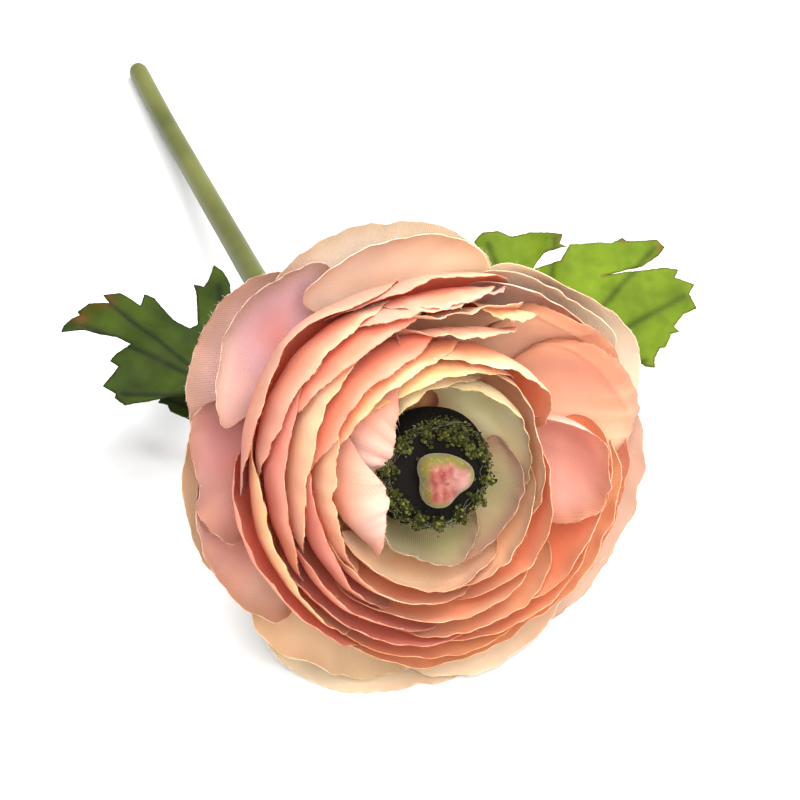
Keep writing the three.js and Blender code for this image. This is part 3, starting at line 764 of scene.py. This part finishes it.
SATINS = {
    "petal_guard_fabric": (satin_material("guard_satin", 0.05, 0.1, "ffd8c0"), (0, 1)),
    "petal_middle_fabric": (satin_material("middle_satin", 0.15, 0.28, "ff9a5c"), (2, 3, 4)),
    "petal_inner_fabric": (satin_material("inner_satin", 0.15, 0.28, "ff9a5c"), (5, 6, 7)),
    "petal_heart_fabric": (satin_material("heart_satin", 0.1, 0.2, "ffb070"), (8, 9)),
}
for slot_name, (satin, tiers) in SATINS.items():
    for tier in tiers:
        petal_round(tier, satin, slot_name)

# ---------------- eye
# The dark heart that the petals close round: a foam plug coated with black flock, pushed on the
# end of the peg. Its top carries a nap of short black fibres.
EYE_TOP = 24.8
EYE = [
    (0, 12.95), (4.4, 12.95), (7.5, 15.6), (9.6, 18.6), (10.5, 21.6), (10.2, 23.6), (9.6, EYE_TOP),
    (0, EYE_TOP),
]
NAP_FIBRES = 2400


def closed_lathe(profile, sides, ripple=None):
    """A lathe form whose first and last ring is one point on the axis, so that it has no hole."""
    points, faces = turned(profile[1:-1], sides, ripple)
    last = len(points)
    faces += fan(last, range(sides - 1, -1, -1)) + fan(last + 1, range(last - sides, last))
    return np.vstack([points, in_bloom(0, 0, profile[0][1]), in_bloom(0, 0, profile[-1][1])]), faces


def hairs(feet, tips, width):
    """Fine fibres: a spike from each foot to each tip."""
    along = unit(tips - feet)
    side = unit(np.cross(along, [0.3, 0.5, 0.81]))
    over = np.cross(along, side)
    turns = (0, 2.094, 4.189)
    return spikes([feet + width * (math.cos(turn) * side + math.sin(turn) * over) for turn in turns], tips)


def nap(count):
    """Flock on the eye's top and shoulder: fibres of 0.2 to 0.6 mm, even over the area, leaning at random."""
    random = np.random.default_rng(71)
    radius = np.sqrt(random.uniform(0.5**2, 10.1**2, count))
    turn = random.uniform(0, 2 * math.pi, count)
    height = EYE_TOP - 0.1 - 0.9 * eased((radius - 9.3) / 0.9)
    feet = in_bloom(radius, turn, height)
    lean = random.normal(0, 0.3, (count, 3))
    return hairs(feet, feet + (AXIS + lean) * random.uniform(0.2, 0.6, (count, 1)), 0.04)


flock, wire = start_material("black_flock")
place = wire.node("TexCoord", output=3)
speck = place.noise(2600, 2)
close_material(
    wire,
    wire.mix(speck.ease(0.55, 0.8) * 0.5, paint("0c0705"), paint("2d2a22")),
    speck * 0.1 + 0.85,
    bump=(place.noise(1800, 3), 0.8, 0.4),
    Specular_IOR_Level=0.1,
)
plug = closed_lathe(evenly(EYE, 60), 72)
new_piece("flocked_eye", *join([plug, nap(NAP_FIBRES)]), flock, "eye_flock", "eye")

# ---------------- stamens
# Anthers of dyed sawdust glued on a black felt washer: a ring of knobbly olive clumps, a low bank
# of moss along the eye's edge, and loose threads that lie round it.
MOSS_FOOT = EYE_TOP + 0.3
CLUMP_GRAINS = 90
BANK_GRAINS = 1500
LOOSE_THREADS = 90
CLUMPS = [  # turn in degrees, radius, length outward, width round the eye
    (96, 7.6, 2.2, 1.3), (70, 7.2, 1.5, 2.4), (47, 7.3, 1.8, 1.2), (28, 6.9, 1.4, 2.4),
    (8, 8.3, 1.3, 1.6), (128, 8.3, 2.3, 1.7), (160, 8.6, 1.8, 1.4), (193, 8.6, 1.9, 1.6),
    (216, 7.4, 1.7, 1.7), (238, 8.4, 1.8, 1.5), (262, 8.5, 1.6, 1.1), (290, 8.6, 1.9, 0.9),
    (316, 8.7, 1.9, 0.8), (340, 8.8, 1.7, 0.9),
]
MOSS_DYES = [dyed(code) for code in ("34370f", "4a4b1f", "22250b", "64632f", "3c2a12", "101107")]


def grains(centres, sizes, random):
    """Small rough lumps: an icosahedron at each centre, with every corner pulled in or out."""
    golden = (1 + math.sqrt(5)) / 2
    quarters = ((-1, golden), (1, golden), (-1, -golden), (1, -golden))
    corners = np.array([np.roll((*quarter, 0), way) for way in range(3) for quarter in quarters]) / 1.902
    sides = "0b5 051 017 07a 0ab 159 5b4 ba2 a76 718 394 342 326 368 389 495 24b 62a 867 981"
    sides = np.array([[int(corner, 16) for corner in side] for side in sides.split()])
    reach = np.asarray(sizes)[:, None, None] * random.uniform(0.7, 1.3, (len(centres), 12, 1))
    points = centres[:, None] + corners * reach
    faces = (np.arange(len(centres)) * 12)[:, None, None] + sides
    return points.reshape(-1, 3), faces.reshape(-1, 3).tolist()


def moss():
    """The grains of every clump, thrown in a flat egg, then those of the bank round the edge."""
    random = np.random.default_rng(19)
    centres, sizes = [], []
    for degrees, radius, length, width in CLUMPS:
        turn = math.radians(degrees)
        outward = math.cos(turn) * ACROSS + math.sin(turn) * UP
        onward = math.cos(turn) * UP - math.sin(turn) * ACROSS
        throw = random.normal(0, 0.38, (CLUMP_GRAINS, 3)) * (length, width, 1.5)
        throw[:, 2] = np.abs(throw[:, 2])
        centres.append(in_bloom(radius, turn, MOSS_FOOT + 0.7) + throw @ np.stack([outward, onward, AXIS]))
        sizes.append(random.uniform(0.18, 0.46, CLUMP_GRAINS))
    radius, turn = random.normal(9.1, 0.4, BANK_GRAINS), random.uniform(0, 2 * math.pi, BANK_GRAINS)
    centres.append(in_bloom(radius, turn, MOSS_FOOT + random.uniform(0, 1.1, BANK_GRAINS)))
    sizes.append(random.uniform(0.1, 0.22, BANK_GRAINS))
    centres, sizes = np.vstack(centres), np.concatenate(sizes)
    points, faces = grains(centres, sizes, random)
    shade = random.choice(len(MOSS_DYES), len(centres), p=(0.3, 0.25, 0.17, 0.12, 0.06, 0.1))
    return points, faces, np.repeat(np.array(MOSS_DYES)[shade], 12, axis=0)


def threads(count):
    """Loose threads round the edge: short three-sided tubes of eight steps that wander up and down."""
    random = np.random.default_rng(23)
    tubes = []
    for start, length in zip(random.uniform(0, 2 * math.pi, count), random.uniform(0.15, 0.7, count)):
        along = np.linspace(0, 1, 9)
        seed = int(random.integers(1 << 30))
        radius = random.normal(8.9, 0.5) + 0.5 * wander(seed, 2, along)
        height = MOSS_FOOT + 0.9 + random.uniform(-0.3, 0.5) + 0.4 * wander(seed + 1, 2, along)
        path = in_bloom(radius, start + length * along, height)
        tubes.append(sweep(path, np.full(9, random.uniform(0.025, 0.05)), 3))
    return join(tubes)


felt_edge = [(0, 0), (9.2, 0), (9.6, 0.3), (9.2, 0.6), (0, 0.6)]
felt_washer = closed_lathe(evenly(felt_edge, 30) + (0, MOSS_FOOT), 64)
*moss_mesh, moss_colour = moss()
thread_mesh = threads(LOOSE_THREADS)
sawdust, wire = start_material("dyed_sawdust")
place = wire.node("TexCoord", output=3)
crumb = place.noise(3000, 2)
dye = wire.node("Attribute", attribute_name="dye", output=0)
close_material(
    wire,
    wire.mix(crumb.ease(0.35, 0.7) * 0.5, dye, wire.mix(1.0, dye, paint("9a9a86"), "MULTIPLY")),
    crumb * 0.1 + 0.8,
    bump=(crumb, 0.6, 0.3),
    Specular_IOR_Level=0.15,
)
felt_colour = np.tile(dyed("0d0805"), (len(felt_washer[0]), 1))
thread_colour = np.tile(dyed("65644f"), (len(thread_mesh[0]), 1))
mesh = join([felt_washer, moss_mesh, thread_mesh])
stamens = new_piece("moss_stamens", *mesh, sawdust, "stamen_moss", "stamens", smooth=False)
dye_points(stamens, np.vstack([felt_colour, moss_colour, thread_colour]))

# ---------------- knob
# The pistil: a soft three-lobed button of flocked foam, pink in the middle and yellow green
# round its side, glued in the centre of the felt.
KNOB_FOOT = MOSS_FOOT + 1.0
KNOB_RADIUS = 4.6
KNOB_HEIGHT = 4.6
KNOB = [
    (0, 0), (0.72, 0), (0.93, 0.12), (1, 0.4), (0.97, 0.62), (0.84, 0.83), (0.6, 0.95), (0.34, 0.975),
    (0.12, 0.965), (0, 0.964),
]


def three_lobes(turn):
    """The knob's radius round it: three lobes, the one to the right longer and narrower."""
    return 1 + 0.13 * np.cos(3 * turn) + 0.07 * np.cos(turn) + 0.03 * np.cos(5 * turn + 1)


def knob_form():
    """The lobed lathe with furrows between the lobes, and its dye by the distance from the axis,
    with a painted highlight that lightens the lobe to the right.
    """
    sides = 120
    profile = smooth_path([(r, h, 0) for r, h in KNOB], 50)[:, :2]
    profile[0, 0] = profile[-1, 0] = 0
    profile = profile * (KNOB_RADIUS, KNOB_HEIGHT) + (0, KNOB_FOOT)
    points, faces = closed_lathe([tuple(p) for p in profile], sides, three_lobes)
    turn = np.r_[np.tile(np.linspace(0, 2 * math.pi, sides, endpoint=False), len(profile) - 2), 0, 0]
    out = np.r_[np.repeat(profile[1:-1, 0] / KNOB_RADIUS, sides), 0, 0]
    high = np.r_[np.repeat((profile[1:-1, 1] - KNOB_FOOT) / KNOB_HEIGHT, sides), 1, 1]
    furrow = 0.45 * np.exp(-(((np.cos(3 * turn) + 1) / 0.7) ** 2)) * eased((high - 0.4) / 0.4) * out
    points = points - np.outer(furrow, AXIS)
    streak = 0.5 + 0.4 * wander(5, 3, 2 * out * np.cos(turn)) + 0.4 * wander(7, 3, 2 * out * np.sin(turn))
    pink = dyed("78302a") + (dyed("8e564a") - dyed("78302a")) * np.clip(streak, 0, 1)[:, None]
    # Painted highlight: the lobe to the right is lightened, most away from the axis.
    painted_highlight = 0.7 * np.exp(-((np.cos(turn) - 1) ** 2) * 6) * eased(out * 1.6)
    pink = pink + (dyed("a07c74") - pink) * painted_highlight[:, None]
    side = eased((out - 0.62 - 0.05 * wander(6, 9, turn / math.pi)) / 0.25) + eased((0.5 - high) / 0.2)
    return points, faces, pink + (dyed("655e20") - pink) * np.clip(side, 0, 1)[:, None]


knob_points, knob_faces, knob_dye_and_painted_highlight = knob_form()
puff, wire = start_material("flocked_foam")
place = wire.node("TexCoord", output=3)
dye = wire.node("Attribute", attribute_name="dye", output=0)
speck = place.noise(1400, 3)
deeper = wire.mix(1.0, dye, paint("d9906e"), "MULTIPLY")
tone = wire.mix(place.noise(420, 2).ease(0.45, 0.7) * 0.45, dye, deeper)
close_material(
    wire,
    wire.mix(speck.ease(0.5, 0.8) * 0.3, tone, paint("a89684")),
    speck * 0.1 + 0.7,
    bump=(speck, 0.35, 0.3),
    Specular_IOR_Level=0.2, Sheen_Weight=0.2,
)
knob = new_piece("three_lobed_knob", knob_points, knob_faces, puff, "knob_flock", "knob")
dye_points(knob, knob_dye_and_painted_highlight)

# ---------------- leaves
# Three cut leaves of stiffened painted fabric, glued by the neck on their petioles: toothed
# lobes, pressed veins, a thin brown line where the hot cutter sealed the edge, rusty tips.
LEAF_CLOTH = 0.35
LEAF_CLOTH_PITCH = 0.42
LEAF_PITCH = 0.62
SHARP_TURN = 0.75
BLADES = {
    "leaf_left": dict(
        # The left leaf's deep green is partly its own darker paint and partly painted shade.
        shade="dark", curl=0.0022, paints=("223000", "303f00", "101900"),
        outline=[
            (-1.5, -1.2), (-1.5, 1.4), (4.9, 3.3), (6.3, 5.9), (8.5, 9.4), (9.6, 12.8), (11.7, 17.2),
            (14.1, 17.5), (14.7, 16.7), (17.4, 17.4), (18.2, 14.5), (19.1, 11.9), (21, 12.2), (21.6, 10.6),
            (21.6, 6.6), (24.4, 7.3), (29.4, 11.1), (31.7, 14.8), (32.5, 13.5), (33.1, 11), (32.8, 9),
            (33.8, 8.7), (33.8, 5.9), (30.9, 3.4), (33.5, 2.6), (32.1, -0.4), (27.4, -1.2), (29.1, -3.8),
            (27.2, -4.7), (20.7, -4), (17.7, -4.9), (17.4, -6.6), (23.6, -12.3), (25.5, -13.5),
            (23.9, -14.5), (24.5, -16.3), (26.7, -20), (24.6, -20.4), (21.4, -19), (18.1, -16), (10, -9),
            (4, -3),
        ],
        veins=[(30.5, 3.5), (30.5, 10.5), (13.8, 15.8), (22.5, -17)],
        rust=[(33, 3.5, 2.2, "573416"), (32.4, 9.5, 1.8, "4e3413"), (25.3, -14, 1.4, "26220a")],
    ),
    "leaf_right": dict(
        shade="light", curl=0.0024, paints=("4d6004", "5e720c", "334200"),
        outline=[
            (-11.5, -10.6), (-7, -12), (0, -10.2), (8.1, -11.6), (7.9, -8.6), (4.6, -2.2), (7.2, -5.5),
            (10.7, -10.4), (12.5, -11), (12.8, -9.7), (14.3, -7.6), (15.7, -7.3), (17.3, -5.1),
            (18.9, -5), (18.2, -3.9), (20.4, -2), (23.3, -1.2), (22.6, 1.8), (24.2, 3.5), (20.9, 5.6),
            (22, 7), (19.4, 7.9), (7.4, 8.4), (15.1, 8.9), (19.1, 10.6), (20.6, 11.9), (19.5, 13.8),
            (13.9, 14.5), (13.1, 15.3), (10.8, 14.6), (8.7, 15.2), (3, 15.8), (0.4, 12.9), (-5, 12.5),
            (-2, 15.1), (2.4, 15.5), (1.2, 16.2), (2.2, 18), (-0.5, 19), (-3.7, 19.9), (-7.2, 19.8),
            (-9.2, 21.2), (-12.4, 21.5), (-14.4, 20.1), (-14.2, 18), (-12, 10), (-10, 2), (-11, -5),
        ],
        veins=[(11, -9.5), (21.5, 1.5), (18.5, 12), (0.5, 17.3), (-12, 19)],
        rust=[
            (20.4, 11.9, 1.2, "5a401b"), (2, 17.8, 1.2, "4c3b16"), (13.2, 15, 0.8, "634024"),
            (23.8, 3.4, 1, "626e1e"),
        ],
    ),
    "leaf_small": dict(
        # The small leaf has the same darker paints: partly its own colour, partly painted shade.
        shade="dark", curl=0.0, paints=("223000", "303f00", "101900"),
        outline=[
            (-1.2, -0.5), (-1.2, 1.8), (2.5, 3.4), (7.8, 3.6), (9, 2.6), (10.8, 3.1), (11, 1.5),
            (9.3, -0.5), (8.5, -1.6), (6.7, -1.6), (5.2, -0.4), (2, -0.8),
        ],
        veins=[(10, 1.6)],
        rust=[],
    ),
}


def cut_edge(outline, seed):
    """The outline as a fine closed line: straight cuts meet in sharp teeth, wide turns are rounded,
    and the hot cutter wanders by about 0.05 mm."""
    corners = np.array(outline, float)
    before, after = corners - np.roll(corners, 1, axis=0), np.roll(corners, -1, axis=0) - corners
    cross = before[:, 0] * after[:, 1] - before[:, 1] * after[:, 0]
    turning = np.abs(np.arctan2(cross, (before * after).sum(axis=1)))
    line = []
    for i, corner in enumerate(corners):
        ends = (i, (i + 1) % len(corners))
        following = corners[ends[1]]
        span = np.linalg.norm(following - corner)
        pulls = []
        for j in ends:
            tangent = corners[(j + 1) % len(corners)] - corners[j - 1]
            soft = min(0.33, 0.6 / (0.3 + turning[j])) * 0.5 * (turning[j] < SHARP_TURN)
            pulls.append(soft * tangent * span / np.linalg.norm(tangent))
        t = np.linspace(0, 1, max(int(span / 0.4), 2), endpoint=False)[:, None]
        start, end = corner + pulls[0], following - pulls[1]
        near = (1 - t) ** 3 * corner + 3 * t * (1 - t) ** 2 * start
        line.append(near + 3 * t**2 * (1 - t) * end + t**3 * following)
    line = np.vstack(line)
    return line + np.random.default_rng(seed).normal(0, 0.035, line.shape)


def nearest(points, line):
    """Each point's distance to the closest of a line's points."""
    return np.sqrt(((points[:, None] - line[None]) ** 2).sum(axis=2)).min(axis=1)


def leaf_blade(leaf, blade, seed):
    """A leaf's mesh, dye and cloth map: its outline filled with a net of triangles, which droops by the
    square of the way from the neck, waves, and is creased along its veins."""
    edge = cut_edge(blade["outline"], seed)
    low, high = edge.min(axis=0), edge.max(axis=0)
    steps = np.arange(low[0], high[0], LEAF_PITCH)
    rows = enumerate(np.arange(low[1], high[1], LEAF_PITCH * 0.866))
    net = np.vstack([np.column_stack([steps + i % 2 * LEAF_PITCH / 2, 0 * steps + y]) for i, y in rows])
    corners = [Vector(p) for p in np.vstack([edge, net[nearest(net, edge) > 0.3]])]
    ring = [(i, (i + 1) % len(edge)) for i in range(len(edge))]
    flat, _, faces, *_ = delaunay_2d_cdt(corners, ring, [list(range(len(edge)))], 1, 1e-5)
    flat = np.array([tuple(p) for p in flat])
    neck = np.array(leaf["neck"], float)
    droop = blade["curl"] * np.maximum(np.linalg.norm(flat - neck, axis=1) - 8, 0) ** 2
    vein = np.full(len(flat), 9.0)
    for tip in blade["veins"]:
        run = np.linspace(0, 1, 60)[:, None] * (np.array(tip) - neck) + neck
        vein = np.minimum(vein, nearest(flat, run) + 0.01)
    to_rim = nearest(flat, edge)
    wave = 0.35 * wander(seed + 1, 3, flat[:, 0] / 15) + 0.35 * wander(seed + 2, 3, flat[:, 1] / 15)
    crease = 0.25 * np.exp(-((vein / 2.5) ** 2)) - 0.3 * np.exp(-((vein / 0.5) ** 2))
    lift = wave * eased(np.linalg.norm(flat - neck, axis=1) / 12) + crease - droop
    height = np.concatenate([lift + LEAF_CLOTH / 2, lift - LEAF_CLOTH / 2])
    points = on_leaf(leaf, np.tile(flat[:, 0], 2), np.tile(flat[:, 1], 2), height)
    faces = [list(face) for face in faces]
    count = len(flat)
    under = [[index + count for index in reversed(face)] for face in faces]
    used = dict.fromkeys(pair for face in faces for pair in zip(face, face[1:] + face[:1]))
    walls = [[b, a, a + count, b + count] for a, b in used if (b, a) not in used]
    base, light, dark = (dyed(code) for code in blade["paints"])
    soak = 0.5 + 0.3 * wander(seed + 3, 3, flat[:, 0] / 12) + 0.3 * wander(seed + 4, 3, flat[:, 1] / 12)
    colour = base + (light - base) * np.clip(soak, 0, 1)[:, None]
    veining = 0.75 * np.exp(-((vein / 0.55) ** 2)) + 0.25 * np.exp(-((vein / 2) ** 2))
    colour = colour + (dark - colour) * veining[:, None]
    for x, y, size, code in blade["rust"]:
        spot = np.exp(-(((flat[:, 0] - x) ** 2 + (flat[:, 1] - y) ** 2) / size**2))[:, None]
        colour = colour + (dyed(code) - colour) * spot
    return points, faces + under + walls, np.tile(colour, (2, 1)), np.tile(to_rim, 2), np.tile(flat, (2, 1))


def painted_cloth(name, edge):
    """Fabric painted by hand: the dye with a watery mottle, a fine weave and a sealed dark edge."""
    material, wire, dye, rim, cloth, weave = start_cloth(name, LEAF_CLOTH_PITCH)
    mottle = cloth.noise(260, 4)
    tone = wire.mix(mottle.ease(0.35, 0.7) * 0.5, dye, wire.mix(1.0, dye, paint("b8c23c"), "MULTIPLY"))
    seal = (1 - rim.ease(0.05, 0.55)) * cloth.noise(120, 2).ease(0.3, 0.6)
    close_material(
        wire,
        wire.mix(seal * 0.75, tone, paint(edge)),
        mottle * 0.15 + 0.55,
        bump=(weave * 0.5 + mottle, 0.25, 0.1),
        Specular_IOR_Level=0.12,
    )
    return material


leaf_edges = {"dark": "1c2404", "light": "4a3c1a"}
cloths = {shade: painted_cloth(f"{shade}_leaf_cloth", edge) for shade, edge in leaf_edges.items()}
for number, (name, blade) in enumerate(BLADES.items()):
    points, faces, colour, to_rim, cloth = leaf_blade(LEAVES[name], blade, 300 + 10 * number)
    shade = blade["shade"]
    piece = new_piece(f"painted_{name}", points, faces, cloths[shade], f"leaf_{shade}_fabric", name)
    dye_cloth(piece, colour, to_rim, cloth)
